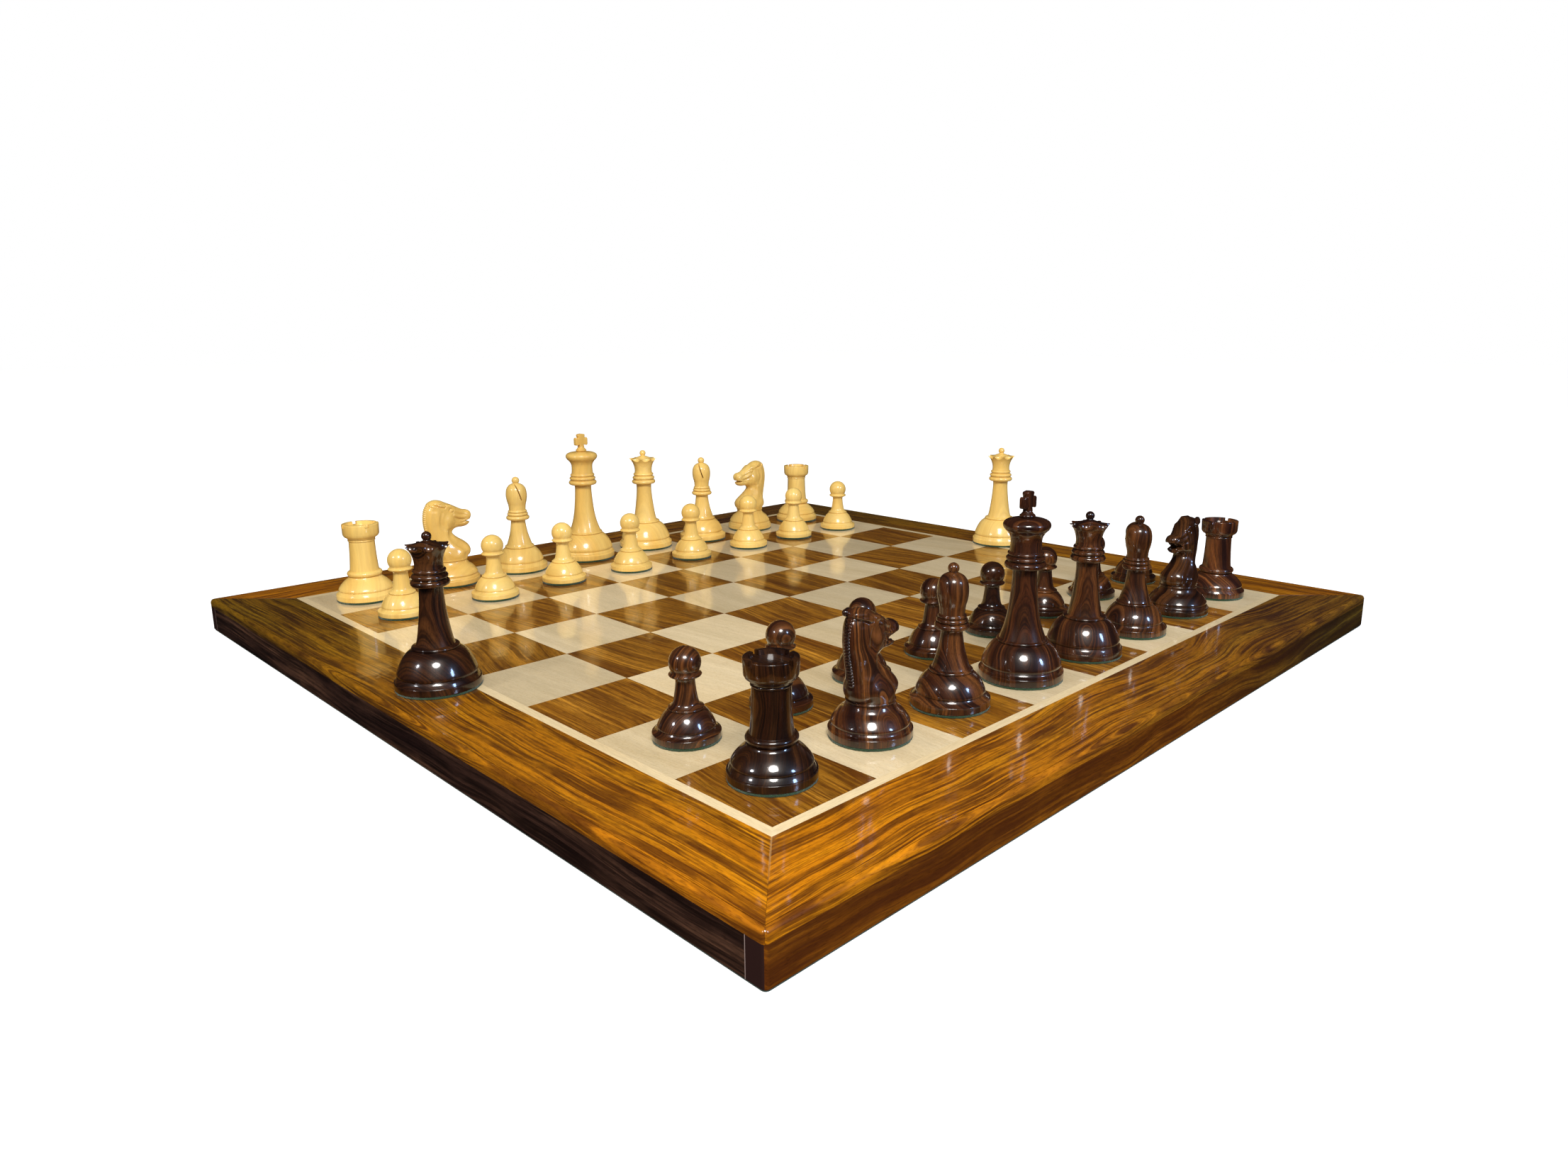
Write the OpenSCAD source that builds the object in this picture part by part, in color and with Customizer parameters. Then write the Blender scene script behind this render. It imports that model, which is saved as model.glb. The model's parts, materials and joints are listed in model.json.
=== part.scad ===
// Chess set with its board: a 32-piece Staunton set with a spare queen for each side,
// set out for the start of a game. Millimetres, +Z up, origin at the middle of the board's underside,
// +X from the a-file to the h-file, +Y from White's side to Black's side.

/* [Board] */
// Width of one square
square_w = 57; // [50:1:63]
// Width of the pale stringing round the playing field
stringing_w = 5; // [3:0.5:8]
// Width of the border outside the stringing
border_w = 41; // [38:1:55]
// Thickness of the solid wood top layer
top_t = 5; // [4:0.5:7]
// Thickness of the core panel
core_t = 15.5; // [10:0.5:20]
// Width of the solid lipping on the core's edges
lipping_w = 9; // [6:0.5:12]
// Thickness of the baize under the board
baize_t = 1; // [0.5:0.1:2]
// Radius of the board's vertical corners
corner_r = 2; // [1:0.5:6]
// Radius of the border's outer top edge
edge_r = 2.5; // [1:0.5:3.5]

/* [Pieces] */
// Scale of every piece on the squares
piece_scale = 1; // [0.85:0.01:1.03]
// Thickness of the felt under each piece
felt_t = 1.2; // [0.8:0.1:2]
// Number of points on a queen's coronet
coronet_points = 8; // [6:1:9]
// Width of the saw cuts in a rook's battlements
battlement_cut = 2.8; // [1.5:0.1:4]
// Width of the slit in a bishop's mitre
mitre_cut = 0.9; // [0.6:0.1:2]
// Thickness of the cross on a king
cross_t = 3.6; // [2.5:0.1:5]

/* [Hidden] */
glue = 0.05;                 // glue line left between solids inside one piece
joint_line = 0.1;            // glue line between neighbouring squares
bead_steps = 6;              // chords in a turned bead
curve_steps = 4;             // chords between two points of a turned curve
ring_n = 24;                 // points round a knight's neck
squares_n = 8;
field_w = squares_n * square_w;
inner_w = field_w + 2 * stringing_w;
board_w = inner_w + 2 * border_w;
core_z = baize_t;
top_z = core_z + core_t;
play_z = top_z + top_t;
e = 0.01;
FILES = ["a", "b", "c", "d", "e", "f", "g", "h"];
BACK_ROW = ["rook", "knight", "bishop", "queen", "king", "bishop", "knight", "rook"];

// Where each piece stands off the middle of its square, in mm, as a hand sets it down
WHITE_BACK_OFF = [[-1, 1], [0, 0], [2, 6], [-2, -3], [-1, -2], [-1, -2], [-3, 0], [0, 0]];
WHITE_PAWN_OFF = [[2, 0], [-1, -1], [-4, 1], [-3, -1], [-2, 0], [-4, -4], [-5, 1], [0, 0]];
BLACK_BACK_OFF = [[-5, 1], [-4, 2], [-2, 3], [-2, 3], [-1, 1], [-1, -1], [-3, -3], [0, -2]];
BLACK_PAWN_OFF = [[-3, 0], [-2, 0], [0, 0], [0, 0], [-1, 0], [0, 0], [0, 0], [-1, -1]];
// The spare queens stand on the border, half over the stringing
SPARE_BLACK = [board_w / 2 - 30, -1];
SPARE_WHITE = [-board_w / 2 + 29, -2];

function square_xy(file, rank) = [(file - 3.5) * square_w, (rank - 3.5) * square_w];

// One record per piece: [side, kind, place name, [x, y]]
function row_of(side, kinds, rank, off) = [
    for (f = [0:squares_n - 1])
        [side, kinds[f], str(FILES[f], rank + 1), square_xy(f, rank) + off[f]]
];
PAWNS = [for (f = [0:squares_n - 1]) "pawn"];
PIECES = concat(
    row_of("white", BACK_ROW, 0, WHITE_BACK_OFF),
    row_of("white", PAWNS, 1, WHITE_PAWN_OFF),
    row_of("black", PAWNS, 6, BLACK_PAWN_OFF),
    row_of("black", BACK_ROW, 7, BLACK_BACK_OFF),
    [["white", "queen", "spare", SPARE_WHITE], ["black", "queen", "spare", SPARE_BLACK]]
);
function piece_name(p) = str(p[0], "_", p[1], "_", p[2]);
function top_name(p) =
    p[1] == "king" ? str(piece_name(p), "_cross") :
    p[1] == "knight" ? str(piece_name(p), "_head") : undef;
TOPPED = [for (p = PIECES) if (p[1] == "king" || p[1] == "knight") p];

SIDES = ["h_side", "black_side", "a_side", "white_side"];   // at +X, +Y, -X and -Y

// ---------- curves ----------

// An arc about c from angle a0 to a1
function arc(c, r, a0, a1, n = bead_steps) =
    [for (i = [0:n]) let (t = a0 + (a1 - a0) * i / n) c + r * [cos(t), sin(t)]];

// A turned bead: a half round of radius r whose outermost point is at [out, z], from below upwards
function bead(out, z, r) = arc([out - r, z], r, -90, 90);

// A smooth curve through every point of p
function cubic(a, b, c, d, t) =
    0.5 * (2 * b + (c - a) * t + (2 * a - 5 * b + 4 * c - d) * t * t
        + (3 * b - a - 3 * c + d) * t * t * t);
function curve(p, n = curve_steps) = let (m = len(p) - 1) concat(
    [for (i = [0:m - 1], k = [0:n - 1])
        cubic(p[max(i - 1, 0)], p[i], p[i + 1], p[min(i + 2, m)], k / n)],
    [p[m]]
);

// ---------- turned profiles, as [radius, height] from the axis at the bottom to the axis at the top

// The foot of every piece: a straight wall up to h, then a hollow up to the bell at [bell_r, bell_z]
function foot(r, h, bell_r, bell_z) = concat(
    [[0, felt_t + glue], [r - 0.4, felt_t + glue], [r, felt_t + 0.6], [r, h - 0.5], [r - 0.4, h]],
    curve([[r - 0.7, h], [bell_r + 0.5, bell_z - 1.2], [bell_r - 0.2, bell_z - 0.2]])
);

FOOT = [["king", 21.6], ["queen", 21.1], ["bishop", 19.2], ["knight", 19], ["rook", 18.6], ["pawn", 15.3]];
function foot_r(kind) = FOOT[search([kind], FOOT)[0]][1];

KING_SOCKET_Z = 83.4;
KING = concat(
    foot(foot_r("king"), 5.2, 20, 7.8),
    curve([[20, 7.8], [20.1, 9.6], [18.2, 14], [15.8, 17.5], [13.4, 19.6]]),
    bead(13, 20.6, 0.7),
    curve([[11.8, 21.6], [9.4, 28.4], [7.7, 36.5], [6.7, 46], [6.2, 54], [6.3, 57.4]]),
    bead(10.5, 59.6, 1.7),
    bead(9.8, 62.9, 1.1),
    bead(9.1, 65.4, 0.9),
    curve([[8.1, 66.6], [7.8, 70.3], [8, 73.4], [9.2, 75.8], [10.9, 77.6]]),
    curve([[11.8, 79.2], [11.7, 80.7], [10.6, 82], [8.2, 82.9], [4.4, KING_SOCKET_Z]]),
    [[0, KING_SOCKET_Z]]
);

QUEEN_RIM = [10.9, 72.8];
QUEEN = concat(
    foot(foot_r("queen"), 5, 19.2, 7.7),
    curve([[19.2, 7.7], [19.4, 9.4], [17.1, 14.7], [14.7, 18.2], [12, 20.4]]),
    bead(11.6, 21.4, 0.7),
    curve([[9.4, 22.5], [8.5, 26], [7.5, 32], [6.4, 41], [5.9, 48], [6, 51.8]]),
    bead(9.4, 54, 1.6),
    bead(8.8, 57.2, 1.2),
    bead(8, 60, 1),
    curve([[7, 61.4], [6.8, 63.6], [7.3, 66.8], [8.6, 70], QUEEN_RIM]),
    curve([[10.1, 72.8], [6.8, 73.1], [4.2, 74], [2.1, 74.8], [1.7, 75.2]]),
    arc([0, 77], 2.4, -45, 90)
);

BISHOP = concat(
    foot(foot_r("bishop"), 4.9, 16.4, 7.3),
    curve([[16.4, 7.3], [16.5, 8.7], [14.9, 12.4], [12.8, 15.2], [10.8, 17]]),
    bead(10.5, 18, 0.7),
    curve([[9.2, 19.1], [8.4, 21.2], [6.4, 28], [5.2, 35.6], [5.3, 37.6]]),
    bead(8.3, 39.5, 1.5),
    bead(7.4, 42.2, 1.1),
    bead(6.8, 44.2, 0.8),
    curve([[5.9, 45.2], [6.2, 48.8], [7, 52], [7.5, 56.2], [6.9, 60.6], [5.3, 63.2], [3.4, 64.4], [2, 65]]),
    arc([0, 66.9], 2.7, -40, 90)
);

ROOK_RIM = [11.4, 51];
ROOK_DISH_Z = 49;
ROOK = concat(
    foot(foot_r("rook"), 4.8, 16.7, 7.1),
    curve([[16.7, 7.1], [16.8, 8.1], [15.7, 10], [13.6, 12.4], [10.7, 14.8]]),
    [[10.3, 15.6]],
    bead(10.9, 17.8, 1.7),
    curve([[9.1, 19.6], [8.7, 23], [8.2, 31], [8, 38.4]]),
    bead(8.5, 40, 0.6),
    curve([[8.4, 40.8], [8.9, 41.7], [10.4, 42.7], [11.2, 44.2]]),
    [ROOK_RIM, ROOK_RIM - [2.6, 0], [ROOK_RIM[0] - 3, ROOK_DISH_Z], [0, ROOK_DISH_Z - 0.6]]
);

KNIGHT_SEAT_Z = 17;
KNIGHT_BASE = concat(
    foot(foot_r("knight"), 4.8, 17.5, 7),
    curve([[17.5, 7], [17.4, 8.4], [14.8, 12], [12.3, 14], [11, 16]]),
    [[10.8, KNIGHT_SEAT_Z], [0, KNIGHT_SEAT_Z]]
);

PAWN = concat(
    foot(foot_r("pawn"), 4.4, 12.8, 6.3),
    curve([[12.8, 6.3], [12.8, 7.2], [11.5, 10], [9.9, 12.4], [8.3, 14]]),
    bead(8, 14.9, 0.6),
    curve([[6.9, 15.8], [5.7, 17.4], [4.9, 21.4], [4.3, 26.6], [4.6, 28.2]]),
    [[6.8, 29.2]],
    bead(7.3, 29.9, 0.5),
    [[6.3, 30.9]],
    arc([0, 35.2], 7.15, -30, 90, 12)
);

// ---------- parts of a piece ----------

function slug_r(kind) = foot_r(kind) * 0.48;
function slug_h(kind) = kind == "pawn" ? 7 : 9;

// Felt disc and metal weight under a turned piece
module felt_and_weight(kind) {
    color("darkgreen") cylinder(r = foot_r(kind) - 0.3, h = felt_t, $fn = 64);
    color("dimgray")
        translate([0, 0, felt_t + glue])
            cylinder(r = slug_r(kind) - glue, h = slug_h(kind) - 2 * glue, $fn = 48);
}

// The turned wood, bored from below for its weight
module turned(kind, profile) {
    difference() {
        rotate_extrude($fn = 64) polygon(profile);
        translate([0, 0, felt_t - 1]) cylinder(r = slug_r(kind), h = slug_h(kind) + 1, $fn = 48);
    }
}

module king_wood() {
    difference() {
        turned("king", KING);
        translate([0, 0, KING_SOCKET_Z - 7]) cylinder(r = 1.6, h = 8, $fn = 32);
    }
}

// A scoop between each two points of the coronet
module queen_wood() {
    difference() {
        turned("queen", QUEEN);
        for (i = [0:coronet_points - 1])
            rotate(360 / coronet_points * (i + 0.5))
                translate([QUEEN_RIM[0] + 0.6, 0, QUEEN_RIM[1] + 1.1]) sphere(r = 3.9, $fn = 32);
    }
}

module bishop_wood() {
    difference() {
        turned("bishop", BISHOP);
        translate([5.7, 0, 59]) rotate([18, 0, 0]) cube([7, mitre_cut, 13], center = true);
    }
}

// Two saw cuts cross the rim of the battlements
module rook_wood() {
    difference() {
        turned("rook", ROOK);
        for (a = [0, 90])
            rotate(a) translate([0, 0, ROOK_DISH_Z + 2])
                cube([30, battlement_cut, 4], center = true);
    }
}

module knight_base_wood() {
    difference() {
        turned("knight", KNIGHT_BASE);
        translate([0, 0, KNIGHT_SEAT_Z - 5]) cylinder(r = 3.6, h = 6, $fn = 32);
    }
}

module turned_piece(kind) {
    if (kind == "king") king_wood();
    if (kind == "queen") queen_wood();
    if (kind == "bishop") bishop_wood();
    if (kind == "knight") knight_base_wood();
    if (kind == "rook") rook_wood();
    if (kind == "pawn") turned("pawn", PAWN);
}

// Cross of a king: a flared cross on a turned seat, with a dowel into the crown
CROSS_MID_Z = 91.4;
CROSS_HALF = [[2.2, -5], [1.7, -2.7], [4.5, -3.3], [5.2, -2.5], [5.2, 1.9], [4.5, 2.8],
    [2.4, 2.4], [3.1, 4.5], [2.5, 5.3], [0, 5.6]];
function mirrored(half) =
    concat(half, [for (i = [len(half) - 1:-1:0]) if (half[i][0] > 0) [-half[i][0], half[i][1]]]);
CROSS_SEAT = concat(
    [[0, KING_SOCKET_Z - 6.5], [1.5, KING_SOCKET_Z - 6.5], [1.5, KING_SOCKET_Z + glue]],
    [[3.4, KING_SOCKET_Z + glue]],
    bead(4, KING_SOCKET_Z + 1, 0.8),
    curve([[3.3, KING_SOCKET_Z + 1.9], [2.3, KING_SOCKET_Z + 3.2], [2, KING_SOCKET_Z + 4.4]]),
    [[0, KING_SOCKET_Z + 4.4]]
);
module king_cross() {
    rotate_extrude($fn = 48) polygon(CROSS_SEAT);
    translate([0, cross_t / 2, CROSS_MID_Z])
        rotate([90, 0, 0]) linear_extrude(cross_t) polygon(mirrored(CROSS_HALF));
}

// Carved head of a knight: rings from the seat up the neck and round to the nose.
// Each ring is [point on the back of the neck, point on the throat side, half width].
KNIGHT_RINGS = [
    [[-10.8, 17.1], [10.8, 17.1], 10.8],
    [[-13, 19.2], [12.6, 19], 11.9],
    [[-14.4, 23], [13.9, 22.6], 11.9],
    [[-15.1, 27.5], [12.4, 27], 10.6],
    [[-16.1, 33], [8.2, 31], 9],
    [[-17.1, 38.5], [3.8, 34.6], 7.8],
    [[-17.6, 44], [1.2, 37.2], 7.2],
    [[-17.1, 51], [1.6, 38.8], 6.9],
    [[-14.8, 57], [3.6, 39.5], 6.6],
    [[-9.8, 60], [6, 39.4], 6.3],
    [[-4, 59], [8.2, 38.8], 6],
    [[2, 56.4], [10.2, 38.5], 5.4],
    [[7.2, 52.8], [12, 38.9], 4.9],
    [[11.8, 50.8], [13.6, 40], 4.5],
    [[15, 49.6], [15.2, 41.6], 3.8],
    [[16.5, 48], [16.4, 43.8], 2.6]
];
// The back of each ring narrows to the crest that carries the mane
function ring_point(ring, t) =
    let (mid = (ring[0] + ring[1]) / 2, half = (ring[1] - ring[0]) / 2)
    let (crest = abs(t - 180) == 15 ? 0.93 : 1)
    let (p = mid + half * cos(t) * crest)
    [p[0], ring[2] * sin(t), p[1]];
module knight_neck() {
    m = len(KNIGHT_RINGS);
    points = [for (r = KNIGHT_RINGS, i = [0:ring_n - 1]) ring_point(r, i * 360 / ring_n)];
    walls = [
        for (j = [0:m - 2], i = [0:ring_n - 1])
            let (a = j * ring_n + i, b = j * ring_n + (i + 1) % ring_n)
            for (tri = [[a, a + ring_n, b], [b, a + ring_n, b + ring_n]]) tri
    ];
    seat = [for (i = [0:ring_n - 1]) i];
    nose = [for (i = [ring_n - 1:-1:0]) (m - 1) * ring_n + i];
    polyhedron(points, concat(walls, [seat, nose]), convexity = 6);
}
module knight_head() {
    difference() {
        union() {
            knight_neck();
            for (side = [-1, 1])
                translate([-9, side * 3, 57]) rotate([-side * 14, -24, 0])
                    cylinder(r1 = 2.2, r2 = 0.7, h = 6, $fn = 24);
            translate([0, 0, KNIGHT_SEAT_Z - 4.8]) cylinder(r = 3.5, h = 8, $fn = 32);
        }
        translate([17.2, 0, 43]) rotate([0, 10, 0]) cube([10, 14, 1.6], center = true);
    }
}

// Every carved or turned wood of one side has that side's colour
module wood(side) { color(side == "white" ? "goldenrod" : "saddlebrown") children(); }

// A knight on the b-file looks along +X and one on the g-file along -X, and each bishop's slit
// points where it was set down
BISHOP_TURN = [["c1", 46], ["f1", 74], ["c8", -34], ["f8", 200]];
function turn_of(p) =
    p[1] == "bishop" ? BISHOP_TURN[search([p[2]], BISHOP_TURN)[0]][1] :
    p[1] == "knight" && p[2][0] == "g" ? 180 : 0;
module stand(p) {
    translate([p[3][0], p[3][1], play_z]) rotate(turn_of(p)) scale(piece_scale) children();
}
module piece(p) {
    stand(p) {
        wood(p[0]) turned_piece(p[1]);
        felt_and_weight(p[1]);
    }
}
module piece_top(p) {
    stand(p) wood(p[0]) {
        if (p[1] == "king") king_cross();
        if (p[1] == "knight") knight_head();
    }
}

// ---------- board ----------

// A square of width w with rounded corners
function rounded_square(w) = [
    for (q = [0:3]) each
        [for (p = arc([w / 2 - corner_r, w / 2 - corner_r], corner_r, 0, 90))
            let (a = q * 90) [p[0] * cos(a) - p[1] * sin(a), p[0] * sin(a) + p[1] * cos(a)]]
];

// The quarter of the board nearest +X, from its middle to well outside it
module mitre_wedge() {
    linear_extrude(play_z + 1) polygon([[0, 0], [board_w, -board_w], [board_w, board_w]]);
}

module baize() {
    color("seagreen") linear_extrude(baize_t) polygon(rounded_square(board_w - 1));
}

module core_panel() {
    core_w = board_w - 2 * lipping_w;
    color("burlywood") translate([-core_w / 2, -core_w / 2, core_z]) cube([core_w, core_w, core_t]);
}

// The lippings at +Y and -Y run the full width, and those at +X and -X fit between them
module lipping(side) {
    full = side % 2 == 1;
    len_y = full ? board_w : board_w - 2 * lipping_w;
    color("saddlebrown")
        intersection() {
            rotate(side * 90)
                translate([board_w / 2 - lipping_w, -len_y / 2, core_z])
                    cube([lipping_w, len_y, core_t]);
            linear_extrude(play_z) polygon(rounded_square(board_w));
        }
}

// One mitred strip of the border, its outer top edge rounded over
module border(side) {
    section = concat(
        [[inner_w / 2, top_z], [board_w / 2, top_z]],
        arc([board_w / 2 - edge_r, play_z - edge_r], edge_r, 0, 90),
        [[inner_w / 2, play_z]]
    );
    color("peru")
        rotate(side * 90)
            intersection() {
                translate([0, board_w / 2, 0])
                    rotate([90, 0, 0]) linear_extrude(board_w) polygon(section);
                mitre_wedge();
                linear_extrude(play_z + 1) polygon(rounded_square(board_w));
            }
}

module stringing(side) {
    color("wheat")
        rotate(side * 90)
            intersection() {
                translate([field_w / 2, -inner_w / 2, top_z]) cube([stringing_w, inner_w, top_t]);
                mitre_wedge();
            }
}

// All the squares of one colour: a1 is dark
module squares(dark) {
    for (f = [0:squares_n - 1], r = [0:squares_n - 1])
        if (((f + r) % 2 == 0) == dark)
            translate([square_xy(f, r)[0], square_xy(f, r)[1], top_z + top_t / 2])
                cube([square_w - joint_line, square_w - joint_line, top_t], center = true);
}
module dark_squares() { color("sienna") squares(true); }
module light_squares() { color("cornsilk") squares(false); }

baize();
core_panel();
dark_squares();
light_squares();
for (s = [0:3]) {
    lipping(s);
    border(s);
    stringing(s);
}
for (p = PIECES) piece(p);
for (p = TOPPED) piece_top(p);
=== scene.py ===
"""Looks of the chess set: turned and carved pieces, felts and the lacquered board."""
import json
import math
import random

import bmesh
import bpy
import numpy as np
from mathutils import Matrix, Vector


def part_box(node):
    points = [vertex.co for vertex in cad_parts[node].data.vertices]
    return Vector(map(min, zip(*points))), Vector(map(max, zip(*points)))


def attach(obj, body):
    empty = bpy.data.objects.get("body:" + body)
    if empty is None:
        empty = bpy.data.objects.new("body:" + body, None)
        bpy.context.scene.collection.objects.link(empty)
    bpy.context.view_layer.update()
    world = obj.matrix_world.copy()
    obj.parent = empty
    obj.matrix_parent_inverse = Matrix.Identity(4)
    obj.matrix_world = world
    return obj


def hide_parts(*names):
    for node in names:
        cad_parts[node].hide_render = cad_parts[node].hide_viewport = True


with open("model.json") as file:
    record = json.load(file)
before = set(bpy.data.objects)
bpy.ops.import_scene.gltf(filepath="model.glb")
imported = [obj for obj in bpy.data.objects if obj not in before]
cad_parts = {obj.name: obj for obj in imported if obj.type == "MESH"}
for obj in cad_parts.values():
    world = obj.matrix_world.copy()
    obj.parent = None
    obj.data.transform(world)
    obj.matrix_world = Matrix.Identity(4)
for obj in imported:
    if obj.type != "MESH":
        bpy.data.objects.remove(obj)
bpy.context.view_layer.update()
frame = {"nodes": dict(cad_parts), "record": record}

MM = 0.001


def edge(node, corner, axis):
    """Where a node's box ends along one axis, in millimetres."""
    return round(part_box(node)[corner][axis] / MM, 2)


# The board's sizes that the looks depend on
BORDER_IN = edge("border_h_side", 0, 0)
BORDER_OUT = edge("border_h_side", 1, 0)
SQUARE = edge("stringing_h_side", 0, 0) / 4
LONG_LIPPING_END = edge("lipping_black_side", 1, 0)
SHORT_LIPPING_END = edge("lipping_h_side", 1, 1)

# ---------------------------------------------------------------- camera and stage


def make_camera():
    """Low view over the h8 corner, with a wide lens shifted a little."""
    data = bpy.data.cameras.new("camera")
    data.sensor_width = 36
    data.lens = 23.32
    data.shift_x = -0.0201
    data.shift_y = -0.0197
    camera = bpy.data.objects.new("camera", data)
    camera.location = (0.4559, 0.4755, 0.1972)
    camera.rotation_euler = [math.radians(a) for a in (77.29, 0.1, 134.65)]
    bpy.context.collection.objects.link(camera)
    bpy.context.scene.camera = camera


def area_light(name, at, aim, size, power, color):
    """A soft oval lamp at a point, turned to face another."""
    data = bpy.data.lights.new(name, "AREA")
    data.shape = "ELLIPSE"
    data.size, data.size_y = size
    data.energy = power
    data.color = color
    lamp = bpy.data.objects.new(name, data)
    lamp.location = at
    lamp.rotation_euler = (Vector(aim) - Vector(at)).to_track_quat("-Z", "Y").to_euler()
    bpy.context.collection.objects.link(lamp)


def make_lights():
    """A broad key above the camera, a cool window to its right and a lamp to its left."""
    middle = (0, 0, 0.03)
    area_light("key", (0.70, 0.82, 1.05), middle, (0.5, 0.4), 18, (1, 0.97, 0.93))
    area_light("window", (-0.25, 1.5, 0.75), middle, (0.22, 0.34), 8, (0.42, 0.62, 1))
    area_light("lamp", (1.5, -0.15, 0.9), middle, (0.22, 0.22), 5, (0.9, 0.93, 1))


def make_world():
    """White behind the object, soft light mostly from above, and a dim room for gloss to show."""
    world = bpy.data.worlds.new("studio")
    world.use_nodes = True
    nt = world.node_tree
    nt.nodes.clear()

    def background(color, strength):
        node = nt.nodes.new("ShaderNodeBackground")
        node.inputs["Color"].default_value = color
        node.inputs["Strength"].default_value = strength
        return node

    path = nt.nodes.new("ShaderNodeLightPath")
    coord = nt.nodes.new("ShaderNodeTexCoord")
    height = nt.nodes.new("ShaderNodeSeparateXYZ")
    nt.links.new(coord.outputs["Generated"], height.inputs[0])
    sky = background((1, 0.975, 0.94, 1), 1)
    strength = nt.nodes.new("ShaderNodeMapRange")
    for place, value in (("From Min", 0), ("From Max", 1), ("To Min", 0.34), ("To Max", 0.54)):
        strength.inputs[place].default_value = value
    nt.links.new(height.outputs["Z"], strength.inputs["Value"])
    nt.links.new(strength.outputs["Result"], sky.inputs["Strength"])
    shade = sky.outputs[0]
    for kind, other in (("Is Glossy Ray", background((0.8, 0.88, 1, 1), 0.008)),
                        ("Is Camera Ray", background((1, 1, 1, 1), 1.0))):
        mix = nt.nodes.new("ShaderNodeMixShader")
        nt.links.new(path.outputs[kind], mix.inputs[0])
        nt.links.new(shade, mix.inputs[1])
        nt.links.new(other.outputs[0], mix.inputs[2])
        shade = mix.outputs[0]
    out = nt.nodes.new("ShaderNodeOutputWorld")
    nt.links.new(shade, out.inputs["Surface"])
    bpy.context.scene.world = world
    bpy.context.scene.view_settings.view_transform = "Standard"


# ---------------------------------------------------------------- materials


class Nodes:
    """A short way to write a material's node tree."""

    def __init__(self, name):
        self.material = bpy.data.materials.new(name)
        self.material.use_nodes = True
        self.tree = self.material.node_tree
        self.tree.nodes.clear()
        self.shader = self.add("ShaderNodeBsdfPrincipled")
        out = self.add("ShaderNodeOutputMaterial")
        self.link(self.shader.outputs[0], out.inputs["Surface"])

    def add(self, kind, **settings):
        node = self.tree.nodes.new(kind)
        for key, value in settings.items():
            setattr(node, key, value)
        return node

    def link(self, a, b):
        self.tree.links.new(a, b)

    def feed(self, socket, value):
        """A socket takes a number, a tuple or another node's output."""
        if isinstance(value, bpy.types.NodeSocket):
            self.link(value, socket)
        else:
            socket.default_value = value

    def math(self, op, a, b=0.0, c=None):
        node = self.add("ShaderNodeMath", operation=op)
        self.feed(node.inputs[0], a)
        self.feed(node.inputs[1], b)
        if c is not None:
            self.feed(node.inputs[2], c)
        return node.outputs[0]

    def vector(self, op, a, b=(0, 0, 0)):
        node = self.add("ShaderNodeVectorMath", operation=op)
        self.feed(node.inputs[0], a)
        self.feed(node.inputs[1], b)
        return node.outputs["Vector"]

    def split(self, v):
        node = self.add("ShaderNodeSeparateXYZ")
        self.feed(node.inputs[0], v)
        return node.outputs

    def join(self, x, y, z):
        node = self.add("ShaderNodeCombineXYZ")
        for socket, value in zip(node.inputs, (x, y, z)):
            self.feed(socket, value)
        return node.outputs[0]

    def noise(self, v, scale, detail=3.0, rough=0.5):
        node = self.add("ShaderNodeTexNoise")
        self.feed(node.inputs["Vector"], v)
        node.inputs["Scale"].default_value = scale
        node.inputs["Detail"].default_value = detail
        node.inputs["Roughness"].default_value = rough
        return node.outputs["Fac"]

    def ramp(self, fac, stops):
        """stops are (place, colour or grey)."""
        node = self.add("ShaderNodeValToRGB")
        self.feed(node.inputs[0], fac)
        elements = node.color_ramp.elements
        while len(elements) < len(stops):
            elements.new(0.5)
        for element, (place, color) in zip(elements, stops):
            element.position = place
            grey = isinstance(color, (int, float))
            element.color = (color, color, color, 1) if grey else (*color, 1)
        return node.outputs[0]

    def mix(self, kind, fac, a, b):
        node = self.add("ShaderNodeMix", data_type="RGBA", blend_type=kind)
        self.feed(node.inputs[0], fac)
        self.feed(node.inputs[6], a)
        self.feed(node.inputs[7], b)
        return node.outputs[2]

    def bump(self, height, strength, distance):
        node = self.add("ShaderNodeBump")
        node.inputs["Strength"].default_value = strength
        node.inputs["Distance"].default_value = distance
        self.feed(node.inputs["Height"], height)
        return node.outputs[0]

    def object_coords(self):
        """Object coordinates in millimetres."""
        coord = self.add("ShaderNodeTexCoord")
        return self.vector("MULTIPLY", coord.outputs["Object"], (1000, 1000, 1000))

    def attribute(self, name):
        """A custom property of the object."""
        return self.add("ShaderNodeAttribute", attribute_type="OBJECT", attribute_name=name).outputs["Fac"]

    def set(self, **values):
        """Plain values on the shader, such as Coat_Weight=1."""
        for key, value in values.items():
            self.shader.inputs[key.replace("_", " ")].default_value = value


PORE_TINT = (0.36, 0.25, 0.18, 1)
FLECK_TINT = (0.84, 0.76, 0.60, 1)
PALE_MITRE_LINE = (0.62, 0.36, 0.14, 1)


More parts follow.
